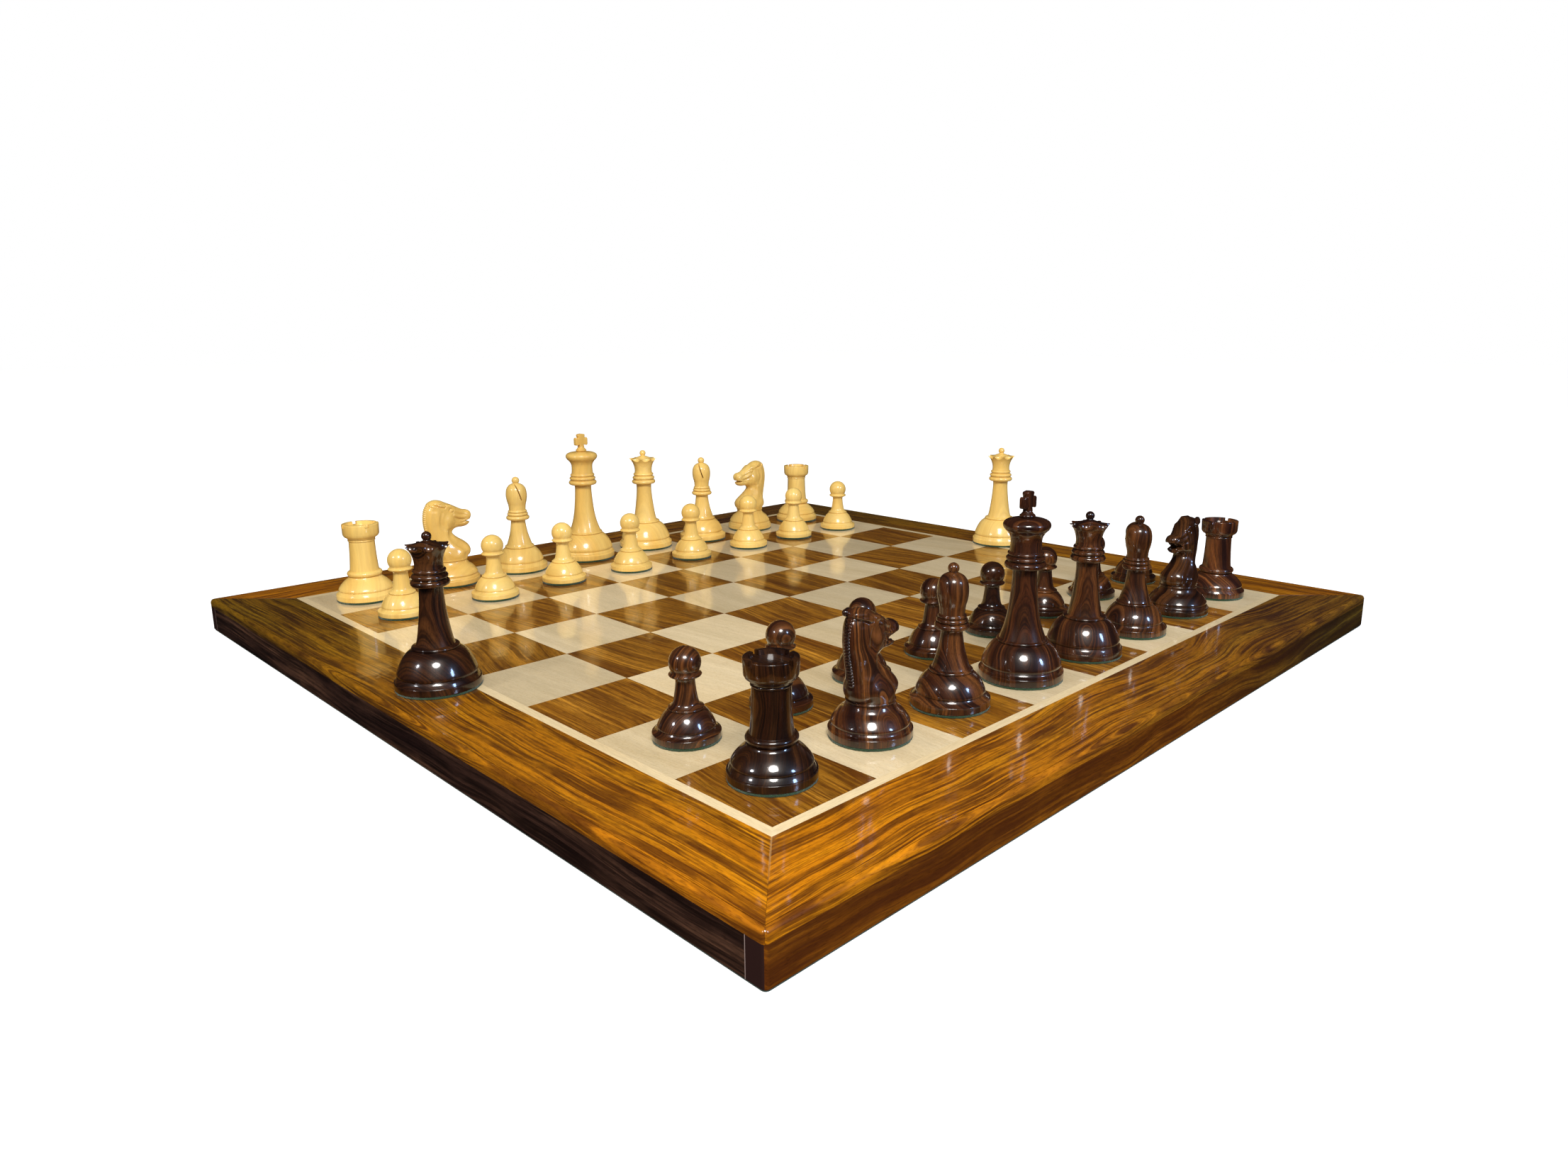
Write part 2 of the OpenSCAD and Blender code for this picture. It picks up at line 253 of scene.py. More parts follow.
def wood(name, tones, line, along="z", pith=(40, 25), pitch=2.6, drift=(3, 40), weave=0.5, lines=0.8,
         fibres=0.8, pores=0.3, fleck=0.0, gloss=(0.3, 0.3, 1.0, 0.06), cell=0.0, strip=0.0,
         mitre=False, shade=None, ends=None):
    """Lacquered wood whose grain runs along one axis.

    tones are the ramp stops of the broad bands and line is the colour of the thin dark streaks.
    pith is how far off the middle the heart of the tree lay, pitch how far apart the streaks are,
    and drift how far they stray and over what length, all in mm. A small weave keeps neighbouring
    streaks side by side as they stray. gloss is (roughness, specular, coat, coat roughness).
    cell is the pitch of separate squares, each with its own stretch of wood, and strip how far out
    the middle of an edge strip lies. shade is (from, to, tint) of painted shade, a slow darkening and
    greying of the colour along the grain that stands in for the light falling off towards the far end,
    and ends is (start, colour) of what shows past that distance along it.
    """
    n = Nodes(name)
    p = n.object_coords()
    x, y, z = n.split(p)
    seed = n.math("MULTIPLY", n.attribute("grain"), 37.0)
    if cell:
        cx = n.math("FLOOR", n.math("DIVIDE", x, cell))
        cy = n.math("FLOOR", n.math("DIVIDE", y, cell))
        each = n.add("ShaderNodeTexWhiteNoise", noise_dimensions="3D")
        n.link(n.join(cx, cy, seed), each.inputs["Vector"])
        each = n.split(each.outputs["Color"])
        seed = n.math("MULTIPLY", each[0], 900.0)
        tilt = n.math("MULTIPLY", n.math("SUBTRACT", each[1], 0.5), 0.35)
        x = n.math("SUBTRACT", x, n.math("MULTIPLY", n.math("ADD", cx, 0.5), cell))
        y = n.math("SUBTRACT", y, n.math("MULTIPLY", n.math("ADD", cy, 0.5), cell))
    # a and b lie across the grain and c along it
    a, b, c = {"z": (x, y, z), "y": (x, z, y), "x": (y, z, x)}[along]
    if strip:
        # both pieces of wood at one edge of the board share their figure
        seed = n.math("MULTIPLY_ADD", n.math("GREATER_THAN", a, 0.0), 311.0, 40.0)
        a = n.math("SUBTRACT", n.math("ABSOLUTE", a), strip)
    if cell:
        a = n.math("ADD", a, n.math("MULTIPLY", c, tilt))
    q = n.vector("ADD", n.join(a, b, c), n.join(seed, 0.0, n.math("MULTIPLY", seed, 1.7)))

    # distance from the heart of the tree, bent by a slow, a quick and a slight drift
    if along == "z":
        # turned wood has its heart at the same distance, but on any side
        reach = math.hypot(*pith)
        pith = [n.math("MULTIPLY", n.math(wave, seed), reach) for wave in ("COSINE", "SINE")]
    far, length = drift
    da = n.math("ADD", a, pith[0])
    db = n.math("ADD", b, pith[1])
    ring = n.math("SQRT", n.math("ADD", n.math("MULTIPLY", da, da), n.math("MULTIPLY", db, db)))
    for across, down, swing in ((weave, 0.5, 6.0), (4 * weave, 2.0, 0.6), (14.0, 4.0, 0.08)):
        stretch = (across / length, across / length, down / length)
        stray = n.noise(n.vector("MULTIPLY", q, stretch), 1.0, 2.0, 0.5)
        ring = n.math("ADD", ring, n.math("MULTIPLY", n.math("SUBTRACT", stray, 0.5), far * swing))
    ring = n.math("ADD", ring, seed)

    def bands(rate, shift, stretch=0.006, detail=2.0):
        """Noise that follows the rings, long drawn out along the grain."""
        across = n.math("MULTIPLY", ring, rate / pitch)
        at = n.join(across, n.math("ADD", seed, shift), n.math("MULTIPLY", c, stretch))
        return n.noise(at, 1.0, detail, 0.5)

    color = n.ramp(bands(0.3, 0.0, detail=3.0), tones)
    finer = n.ramp(bands(1.0, 3.0, detail=4.0), [(0.32, 0.70), (0.5, 1.0), (0.62, 1.12)])
    color = n.mix("MULTIPLY", lines, color, finer)
    # fine fibres that follow the rings
    strand = n.join(n.math("MULTIPLY", ring, 1.9), n.math("MULTIPLY", b, 1.3), n.math("MULTIPLY", c, 0.16))
    fibre = n.noise(n.vector("ADD", strand, n.join(0.0, seed, 0.0)), 1.0, 3.0, 0.62)
    color = n.mix("MULTIPLY", fibres, color, n.ramp(fibre, [(0.30, 0.50), (0.48, 1.0), (0.70, 1.30)]))
    # thin dark lines where a slow noise crosses its middle, stronger here and weaker there
    for rate, shift, share in ((1.0, 9.0, 1.0), (1.9, 17.0, 0.7)):
        offset = n.math("ABSOLUTE", n.math("SUBTRACT", bands(rate, shift), 0.5))
        thin = n.ramp(offset, [(0.0, 1.0), (0.03, 0.85), (0.07, 0.0)])
        strong = n.ramp(bands(0.4 * rate, shift + 4, 0.03), [(0.34, 0.1), (0.52, 1.0)])
        thin = n.math("MULTIPLY", n.math("MULTIPLY", thin, strong), lines * share)
        color = n.mix("MIX", thin, color, (*line, 1))
    # open pores, drawn out along the grain
    pore = n.noise(n.vector("MULTIPLY", q, (3.2, 3.2, 0.3)), 1.0, 1.0, 0.4)
    open_pore = n.ramp(pore, [(0.62, 0.0), (0.68, 1.0)])
    color = n.mix("MULTIPLY", n.math("MULTIPLY", open_pore, pores), color, PORE_TINT)
    if fleck:
        dots = n.noise(n.vector("MULTIPLY", q, (1.3, 1.3, 0.7)), 1.0, 2.0, 0.7)
        dots = n.math("MULTIPLY", n.ramp(dots, [(0.52, 0.0), (0.66, 1.0)]), fleck)
        color = n.mix("MULTIPLY", dots, color, FLECK_TINT)
    if cell:
        color = n.mix("MULTIPLY", 1.0, color, n.ramp(each[2], [(0.0, 0.84), (1.0, 1.12)]))
    if mitre:
        # a pale line along the mitre, palest next to the playing field
        miss = n.math("ABSOLUTE", n.math("SUBTRACT", n.math("ABSOLUTE", x), n.math("ABSOLUTE", y)))
        fade = n.ramp(n.math("MULTIPLY_ADD", a, 0.02, 0.5), [(0.30, 0.42), (0.55, 0.0)])
        pale = n.math("MULTIPLY", n.ramp(miss, [(0.35, 1.0), (0.6, 0.0)]), fade)
        color = n.mix("MIX", pale, color, PALE_MITRE_LINE)
    # painted shade: the colour turns darker and greyer along the grain towards the far end, where the light
    # falls off
    if shade:
        start, end, tint = shade
        painted_shade_amount = n.math("DIVIDE", n.math("SUBTRACT", c, start), end - start)
        color = n.mix("MULTIPLY", n.ramp(painted_shade_amount, [(0.0, 0.0), (1.0, 1.0)]), color, (*tint, 1))
    if ends:
        past = n.math("GREATER_THAN", n.math("ABSOLUTE", c), ends[0])
        color = n.mix("MIX", past, color, (*ends[1], 1))
    tone = n.math("ADD", n.attribute("tone"), 1.0)
    color = n.mix("MULTIPLY", 1.0, color, n.join(tone, tone, tone))
    n.feed(n.shader.inputs["Base Color"], color)
    rough, specular, coat, coat_rough = gloss
    wear = n.noise(n.vector("MULTIPLY", p, (0.05, 0.05, 0.05)), 1.0, 3.0, 0.6)
    n.feed(n.shader.inputs["Roughness"], n.math("MULTIPLY_ADD", wear, 0.14, rough - 0.07))
    n.set(Specular_IOR_Level=specular, Coat_Weight=coat, Coat_Roughness=coat_rough)
    relief = n.math("SUBTRACT", n.math("MULTIPLY", fibre, 0.5), n.math("MULTIPLY", open_pore, 0.6))
    n.feed(n.shader.inputs["Normal"], n.bump(relief, 0.25, 0.00006))
    # the lacquer lies smoother than the wood, with a slight orange peel
    peel = n.noise(n.vector("MULTIPLY", p, (0.22, 0.22, 0.22)), 1.0, 2.0, 0.5)
    peel = n.math("ADD", peel, n.math("MULTIPLY", relief, 0.05))
    n.feed(n.shader.inputs["Coat Normal"], n.bump(peel, 0.12, 0.0004))
    return n.material


def felt(name, dark, light):
    """Short pressed fibres."""
    n = Nodes(name)
    p = n.object_coords()
    clump = n.noise(p, 0.9, 4.0, 0.7)
    hair = n.noise(n.vector("MULTIPLY", p, (1, 1, 2.2)), 6.0, 3.0, 0.7)
    fac = n.math("ADD", n.math("MULTIPLY", clump, 0.45), n.math("MULTIPLY", hair, 0.55))
    n.feed(n.shader.inputs["Base Color"], n.ramp(fac, [(0.3, dark), (0.7, light)]))
    n.set(Roughness=0.95, Sheen_Weight=0.4, Specular_IOR_Level=0.15)
    n.feed(n.shader.inputs["Normal"], n.bump(hair, 0.9, 0.0004))
    return n.material


def raw_panel(name):
    """Unfinished panel core, layered through its thickness."""
    n = Nodes(name)
    p = n.object_coords()
    layers = n.noise(n.vector("MULTIPLY", p, (0.03, 0.03, 0.9)), 1.0, 3.0, 0.5)
    color = n.ramp(layers, [(0.35, (0.34, 0.22, 0.12)), (0.65, (0.60, 0.44, 0.27))])
    n.feed(n.shader.inputs["Base Color"], color)
    n.set(Roughness=0.8)
    return n.material


BOX = [(0.30, (0.80, 0.48, 0.105)), (0.50, (0.88, 0.58, 0.150)), (0.70, (0.92, 0.64, 0.195))]
BOX_LINE = (0.66, 0.38, 0.09)
ROSE = [(0.34, (0.015, 0.004, 0.002)), (0.48, (0.048, 0.014, 0.004)), (0.64, (0.125, 0.043, 0.010))]
ROSE_LINE = (0.006, 0.002, 0.0015)
SHEESHAM = [(0.30, (0.41, 0.130, 0.002)), (0.48, (0.53, 0.178, 0.002)), (0.66, (0.65, 0.245, 0.003))]
SHEESHAM_LINE = (0.075, 0.017, 0.002)
WALNUT = [(0.34, (0.20, 0.070, 0.005)), (0.48, (0.32, 0.128, 0.008)), (0.64, (0.50, 0.215, 0.018))]
DARK_LIPPING = [(0.34, (0.020, 0.008, 0.006)), (0.50, (0.050, 0.022, 0.014)), (0.64, (0.12, 0.055, 0.030))]
GOLD_LIPPING = [(0.34, (0.06, 0.013, 0.001)), (0.48, (0.14, 0.038, 0.0012)), (0.64, (0.28, 0.09, 0.0025))]
MAPLE = [(0.30, (0.66, 0.52, 0.30)), (0.5, (0.74, 0.59, 0.355)), (0.70, (0.79, 0.64, 0.40))]
MAPLE_LINE = (0.56, 0.41, 0.22)
STRING = [(0.30, (0.74, 0.57, 0.32)), (0.6, (0.84, 0.67, 0.39))]


def make_materials():
    board = {"gloss": (0.38, 0.12, 1.0, 0.07)}
    side = {"gloss": (0.45, 0.12, 0.3, 0.25)}
    square = {"along": "y", "pith": (70, 40), "drift": (1.8, 60), "cell": SQUARE, **board}
    strip = {"pitch": 2.1, "pores": 0.5, "strip": (BORDER_IN + BORDER_OUT) / 2}
    wavy = {"along": "x", "pith": (40, 44), "drift": (3.0, 90), "weave": 0.3, **strip}
    straight = {"along": "y", "pith": (60, 60), "drift": (1.8, 110), "weave": 0.4, **strip}
    stringing = {"lines": 0.12, "fibres": 0.3, "pores": 0.1, **board}
    # the end grain of a lipping begins this far inside its ends
    end = 0.4
    return {
        "white": wood("boxwood", BOX, BOX_LINE, pitch=3.2, lines=0.2, fibres=0.1, pores=0.05,
                      gloss=(0.42, 0.4, 0.7, 0.14)),
        "black": wood("rosewood", ROSE, ROSE_LINE, pith=(14, 9), pitch=1.7, drift=(2.5, 30), pores=0.4,
                      gloss=(0.34, 0.25, 1.0, 0.09)),
        "dark_squares": wood("sheesham_squares", WALNUT, SHEESHAM_LINE, pitch=2.2, lines=0.7, pores=0.5,
                             **square),
        "light_squares": wood("maple_squares", MAPLE, MAPLE_LINE, pitch=4.0, lines=0.16, fibres=0.2,
                              fleck=0.5, pores=0.1, **square),
        # both borders carry painted shade, darker and greyer towards their far ends
        "border_x": wood("sheesham_border_x", SHEESHAM, SHEESHAM_LINE, mitre=True,
                         shade=(220, -200, (0.40, 0.50, 4.0)), **wavy, **board),
        "border_y": wood("sheesham_border_y", SHEESHAM, SHEESHAM_LINE, mitre=True,
                         shade=(270, -200, (0.40, 0.55, 1.6)), **straight, **board),
        # the gold lipping carries painted shade, darker towards its far end
        "lipping_x": wood("sheesham_lipping_x", GOLD_LIPPING, SHEESHAM_LINE,
                          shade=(0, -200, (0.45, 0.8, 3.0)),
                          ends=(LONG_LIPPING_END - end, (0.03, 0.012, 0.010)), **wavy, **side),
        "lipping_y": wood("dark_lipping_y", DARK_LIPPING, ROSE_LINE,
                          ends=(SHORT_LIPPING_END - end, (0.30, 0.22, 0.20)), **straight, **side),
        "string_x": wood("boxwood_stringing_x", STRING, MAPLE_LINE, "x", **stringing),
        "string_y": wood("boxwood_stringing_y", STRING, MAPLE_LINE, "y", **stringing),
        "core": raw_panel("core_panel"),
        "felt": felt("piece_felt", (0.006, 0.024, 0.009), (0.026, 0.088, 0.028)),
        "baize": felt("baize", (0.008, 0.045, 0.028), (0.03, 0.13, 0.075)),
    }


# ---------------------------------------------------------------- mesh helpers


def arc(c, r, a0, a1, n=12):
    """Points on an arc about c, in degrees."""
    angles = [math.radians(a0 + (a1 - a0) * i / n) for i in range(n + 1)]
    return [(c[0] + r * math.cos(t), c[1] + r * math.sin(t)) for t in angles]


def bead(out, z, r):
    """A half round whose outermost point is at (out, z)."""
    return arc((out - r, z), r, -90, 90)


def curve(points, n=8):
    """A smooth curve through every point, of any dimension."""
    p = [np.array(q, float) for q in points]
    last = len(p) - 1
    out = []
    for i in range(last):
        a, b, c, d = p[max(i - 1, 0)], p[i], p[i + 1], p[min(i + 2, last)]
        for k in range(n):
            t = k / n
            out.append(0.5 * (2 * b + (c - a) * t + (2 * a - 5 * b + 4 * c - d) * t ** 2
                              + (3 * b - a - 3 * c + d) * t ** 3))
    out.append(p[-1])
    return [tuple(q) for q in out]


def mesh_object(name, verts, faces, angle=32):
    """A smooth-shaded object from points in millimetres, with edges sharper than angle left crisp."""
    mesh = bpy.data.meshes.new(name)
    mesh.from_pydata([tuple(c * MM for c in v) for v in verts], [], faces)
    bm = bmesh.new()
    bm.from_mesh(mesh)
    bmesh.ops.remove_doubles(bm, verts=bm.verts, dist=1e-7)
    bmesh.ops.recalc_face_normals(bm, faces=bm.faces)
    bm.to_mesh(mesh)
    bm.free()
    mesh.shade_smooth()
    mesh.set_sharp_from_angle(angle=math.radians(angle))
    obj = bpy.data.objects.new(name, mesh)
    bpy.context.collection.objects.link(obj)
    return obj


def lathe(name, profile, around=96):
    """A turned solid. The profile runs from the axis at the bottom to the axis at the top."""
    verts, faces, rings = [], [], []
    for r, z in profile:
        if r < 1e-6:
            rings.append([len(verts)] * around)
            verts.append((0, 0, z))
        else:
            rings.append(list(range(len(verts), len(verts) + around)))
            for i in range(around):
                t = 2 * math.pi * i / around
                verts.append((r * math.cos(t), r * math.sin(t), z))
    for low, high in zip(rings, rings[1:]):
        for i in range(around):
            j = (i + 1) % around
            face = [low[i], low[j], high[j], high[i]]
            face = [v for k, v in enumerate(face) if v != face[k - 1]]
            if len(face) > 2:
                faces.append(face)
    return mesh_object(name, verts, faces)


def cut(target, tools, angle=32):
    """Takes the tools away from the target and removes them."""
    for tool in tools:
        modifier = target.modifiers.new("cut", "BOOLEAN")
        modifier.operation = "DIFFERENCE"
        modifier.solver = "EXACT"
        modifier.object = tool
    apply_modifiers(target)
    for tool in tools:
        bpy.data.objects.remove(tool)
    target.data.shade_smooth()
    target.data.set_sharp_from_angle(angle=math.radians(angle))


def apply_modifiers(obj):
    graph = bpy.context.evaluated_depsgraph_get()
    mesh = bpy.data.meshes.new_from_object(obj.evaluated_get(graph))
    obj.modifiers.clear()
    old = obj.data
    obj.data = mesh
    bpy.data.meshes.remove(old)


def box_tool(size, at, turn=(0, 0, 0)):
    """A box for cutting with, in millimetres and degrees."""
    half = [s / 2 for s in size]
    corners = [(x, y, z) for x in (-1, 1) for y in (-1, 1) for z in (-1, 1)]
    verts = [tuple(c * h for c, h in zip(corner, half)) for corner in corners]
    faces = [(0, 1, 3, 2), (4, 6, 7, 5), (0, 4, 5, 1), (2, 3, 7, 6), (0, 2, 6, 4), (1, 5, 7, 3)]
    tool = mesh_object("tool", verts, faces)
    tool.location = [c * MM for c in at]
    tool.rotation_euler = [math.radians(a) for a in turn]
    return tool


def ball_tool(r, at):
    """A ball for cutting with, in millimetres."""
    tool = lathe("tool", arc((0, 0), r, -90, 90, 24), 48)
    tool.location = [c * MM for c in at]
    return tool


# ---------------------------------------------------------------- turned profiles, (radius, height) in mm

FELT_T = 1.2
FOOT_R = {"king": 21.6, "queen": 21.1, "bishop": 19.2, "knight": 19.0, "rook": 18.6, "pawn": 15.3}


def foot(r, h, bell_r, bell_z):
    """The foot: a straight wall with eased edges, then a hollow up to the bell."""
    wood_z = FELT_T + 0.05
    return ([(0, wood_z), (r - 0.5, wood_z)] + arc((r - 0.4, wood_z + 0.45), 0.4, -70, 0, 5)
            + arc((r - 0.5, h - 0.5), 0.5, 0, 80, 6)
            + curve([(r - 0.75, h), (bell_r + 0.5, bell_z - 1.2), (bell_r - 0.2, bell_z - 0.2)]))


KING_SOCKET_Z = 83.4
QUEEN_RIM = (10.9, 72.8)
CORONET_POINTS = 8
MITRE_CUT = 0.9
ROOK_SLOT = 2.8
KNIGHT_SEAT_Z = 17.0
ROOK_DISH_Z = 49.0
PROFILES = {
    "king": foot(FOOT_R["king"], 5.2, 20, 7.8)
    + curve([(20, 7.8), (20.1, 9.6), (18.2, 14), (15.8, 17.5), (13.4, 19.6)])
    + bead(13, 20.6, 0.7)
    + curve([(11.8, 21.6), (9.4, 28.4), (7.7, 36.5), (6.7, 46), (6.2, 54), (6.3, 57.4)])
    + bead(10.5, 59.6, 1.7) + bead(9.8, 62.9, 1.1) + bead(9.1, 65.4, 0.9)
    + curve([(8.1, 66.6), (7.8, 70.3), (8, 73.4), (9.2, 75.8), (10.9, 77.6), (11.8, 79.2), (11.7, 80.7),
             (10.6, 82), (8.2, 82.9), (4.4, KING_SOCKET_Z)])
    + [(0, KING_SOCKET_Z)],
    "queen": foot(FOOT_R["queen"], 5, 19.2, 7.7)
    + curve([(19.2, 7.7), (19.4, 9.4), (17.1, 14.7), (14.7, 18.2), (12, 20.4)])
    + bead(11.6, 21.4, 0.7)
    + curve([(9.4, 22.5), (8.5, 26), (7.5, 32), (6.4, 41), (5.9, 48), (6, 51.8)])
    + bead(9.4, 54, 1.6) + bead(8.8, 57.2, 1.2) + bead(8, 60, 1)
    + curve([(7, 61.4), (6.8, 63.6), (7.3, 66.8), (8.6, 70), QUEEN_RIM])
    + curve([(10.1, 72.8), (6.8, 73.1), (4.2, 74), (2.1, 74.8), (1.7, 75.2)])
    + arc((0, 77), 2.4, -45, 90, 16),
    "bishop": foot(FOOT_R["bishop"], 4.9, 16.4, 7.3)
    + curve([(16.4, 7.3), (16.5, 8.7), (14.9, 12.4), (12.8, 15.2), (10.8, 17)])
    + bead(10.5, 18, 0.7)
    + curve([(9.2, 19.1), (8.4, 21.2), (6.4, 28), (5.2, 35.6), (5.3, 37.6)])
    + bead(8.3, 39.5, 1.5) + bead(7.4, 42.2, 1.1) + bead(6.8, 44.2, 0.8)
    + curve([(5.9, 45.2), (6.2, 48.8), (7, 52), (7.5, 56.2), (6.9, 60.6), (5.3, 63.2), (3.4, 64.4),
             (2, 65)])
    + arc((0, 66.9), 2.7, -40, 90, 16),
    "rook": foot(FOOT_R["rook"], 4.8, 16.7, 7.1)
    + curve([(16.7, 7.1), (16.8, 8.1), (15.7, 10), (13.6, 12.4), (10.7, 14.8)])
    + [(10.3, 15.6)] + bead(10.9, 17.8, 1.7)
    + curve([(9.1, 19.6), (8.7, 23), (8.2, 31), (8, 38.4)])
    + bead(8.5, 40, 0.6)
    + curve([(8.4, 40.8), (8.9, 41.7), (10.4, 42.7), (11.2, 44.2)])
    + arc((11, 50.6), 0.4, 0, 90, 4) + [(9, 51), (8.5, ROOK_DISH_Z), (0, ROOK_DISH_Z - 0.6)],
    "knight": foot(FOOT_R["knight"], 4.8, 17.5, 7)
    + curve([(17.5, 7), (17.4, 8.4), (14.8, 12), (12.3, 14), (11, 16)])
    + [(10.8, KNIGHT_SEAT_Z), (0, KNIGHT_SEAT_Z)],
    "pawn": foot(FOOT_R["pawn"], 4.4, 12.8, 6.3)
    + curve([(12.8, 6.3), (12.8, 7.2), (11.5, 10), (9.9, 12.4), (8.3, 14)])
    + bead(8, 14.9, 0.6)
    + curve([(6.9, 15.8), (5.7, 17.4), (4.9, 21.4), (4.3, 26.6), (4.6, 28.2)])
    + [(6.8, 29.2)] + bead(7.3, 29.9, 0.5) + [(6.3, 30.9)]
    + arc((0, 35.2), 7.15, -30, 90, 32),
}


def turned(kind):
    """The turned wood of a piece, with the cuts its kind has."""
    obj = lathe("turned_" + kind, PROFILES[kind])
    if kind == "queen":
        reach, z = QUEEN_RIM[0] + 0.6, QUEEN_RIM[1] + 1.1
        turns = [2 * math.pi * (i + 0.5) / CORONET_POINTS for i in range(CORONET_POINTS)]
        cut(obj, [ball_tool(3.9, (reach * math.cos(t), reach * math.sin(t), z)) for t in turns])
    if kind == "bishop":
        cut(obj, [box_tool((7, MITRE_CUT, 13), (5.7, 0, 59), (18, 0, 0))])
    if kind == "rook":
        cut(obj, [box_tool((30, ROOK_SLOT, 4), (0, 0, ROOK_DISH_Z + 2), (0, 0, a)) for a in (0, 90)])
    return obj


def king_cross():
    """The flared cross on its turned seat, its edges eased."""
    half = [(2.2, -5), (1.7, -2.7), (4.5, -3.3), (5.2, -2.5), (5.2, 1.9), (4.5, 2.8), (2.4, 2.4),
            (3.1, 4.5), (2.5, 5.3), (0, 5.6)]
    outline = half + [(-x, z) for x, z in reversed(half) if x > 0]
    thick, middle = 3.6, 91.4
    verts = [(x, y, middle + z) for y in (-thick / 2, thick / 2) for x, z in outline]
    m = len(outline)
    faces = [list(range(m)), list(range(2 * m - 1, m - 1, -1))]
    faces += [[i, (i + 1) % m, m + (i + 1) % m, m + i] for i in range(m)]
    cross = mesh_object("cross", verts, faces)
    bevel = cross.modifiers.new("ease", "BEVEL")
    bevel.width, bevel.segments, bevel.limit_method = 0.5 * MM, 4, "ANGLE"
    apply_modifiers(cross)
    z = KING_SOCKET_Z + 0.02
    seat = lathe("seat", [(0, z), (3.4, z)] + bead(4, z + 1, 0.8)
                 + curve([(3.3, z + 1.9), (2.3, z + 3.2), (2, z + 4.4)]) + [(0, z + 4.4)], 64)
    return joined("king_cross", [cross, seat])


def joined(name, objects):
    """One object with all their meshes."""
    with bpy.context.temp_override(active_object=objects[0], object=objects[0],
                                   selected_objects=objects, selected_editable_objects=objects):
        bpy.ops.object.join()
    objects[0].name = name
    objects[0].data.name = name
    objects[0].data.shade_smooth()
    objects[0].data.set_sharp_from_angle(angle=math.radians(32))
    return objects[0]


def felt_disc(kind, rng):
    """A cut felt disc whose edge frays a little."""
    around = 160
    r = FOOT_R[kind] - 0.15
    jitter = [rng.uniform(-0.16, 0.12) for _ in range(around)]
    levels = [(0.0, -0.25), (0.35, 0.0), (0.8, 0.05), (FELT_T, -0.15)]
    verts, faces = [(0, 0, 0)], []
    for z, out in levels:
        for i in range(around):
            t = 2 * math.pi * i / around
            rr = min(r + out + jitter[i] + rng.uniform(-0.05, 0.05), FOOT_R[kind])
            verts.append((rr * math.cos(t), rr * math.sin(t), z))
    verts.append((0, 0, FELT_T))
    top = len(verts) - 1
    for i in range(around):
        j = (i + 1) % around
        faces.append((0, 1 + j, 1 + i))
        for k in range(len(levels) - 1):
            a, b = 1 + k * around, 1 + (k + 1) * around
            faces.append((a + i, a + j, b + j, b + i))
        last = 1 + (len(levels) - 1) * around
        faces.append((last + i, last + j, top))
    return mesh_object("felt_" + kind, verts, faces, 60)


# ---------------------------------------------------------------- knight's head, carved from a field

# The outline of the head from its side, nose along +X: up the back, and then over the nose to the seat
HEAD_BACK = [(-10.9, 6), (-10.9, 17), (-12.4, 18.8), (-13.5, 21.5), (-13.9, 25), (-14.4, 29), (-15.4, 34),
             (-16.5, 39), (-17.1, 44), (-17, 49), (-16, 54), (-13.8, 57.8)]
HEAD_FRONT = [(-11, 59.5), (-8, 60.1), (-4.5, 59.4), (-1.6, 57.9), (2, 56.2), (6, 54.0), (9, 52.3),
              (11.4, 51.4), (13.4, 50.9), (15.2, 49.7), (15.9, 47.8), (15.8, 46), (15.2, 43.6),
              (14.6, 41.4), (12.6, 39.8), (9.5, 39.2), (6, 39.2), (3.4, 38.5), (1.8, 36.9), (2.6, 35),
              (5.4, 32.4), (8.8, 30), (11.6, 27.6), (13.3, 25), (13.6, 22.2), (12.7, 19.4), (10.9, 17),
              (10.9, 6)]
# How thick the head is here and there: (x, z, half width, depth over which the edge rounds off)
HEAD_WIDTHS = [(0, 10, 10.9, 10.9), (0, 17.5, 11.0, 11), (0, 22, 12.0, 12.8), (-1, 27, 10.7, 12),
               (-4, 32, 8.8, 10), (-6.5, 37, 7.7, 8.5), (-8, 42, 7.2, 8), (-9, 48, 7.0, 7),
               (-9, 54, 6.6, 5.5), (-6, 57.5, 5.8, 3.5), (-1, 54, 5.6, 4), (-2, 46, 6.4, 6),
               (3, 48, 5.2, 4.5), (3, 42, 5.0, 3.5), (7, 46, 4.4, 4), (10.5, 45.5, 4.1, 4),
               (13.5, 46.5, 4.1, 3.5), (8, 41, 4.0, 2.5)]
# How fine the carving's field is
CELL = 0.27


def smooth_min(a, b, k):
    """The union of two fields, with a fillet about k wide."""
    h = np.clip(0.5 + 0.5 * (b - a) / k, 0, 1)
    return b + (a - b) * h - k * h * (1 - h)


def plane_distance(x, z, loop):
    """Signed distance to a closed outline, negative inside, and how far along it the nearest point is."""
    best = np.full(x.shape, 1e9)
    along = np.zeros(x.shape)
    inside = np.zeros(x.shape, bool)
    run = 0.0
    for (ax, az), (bx, bz) in zip(loop, loop[1:] + loop[:1]):
        ex, ez = bx - ax, bz - az
        length = math.hypot(ex, ez)
        t = np.clip(((x - ax) * ex + (z - az) * ez) / (length ** 2), 0, 1)
        d = np.hypot(x - ax - t * ex, z - az - t * ez)
        along = np.where(d < best, run + t * length, along)
        best = np.minimum(d, best)
        crosses = ((az > z) != (bz > z)) & (x < ex * (z - az) / (ez if ez else 1e-9) + ax)
        inside ^= crosses
        run += length
    return np.where(inside, -best, best), along


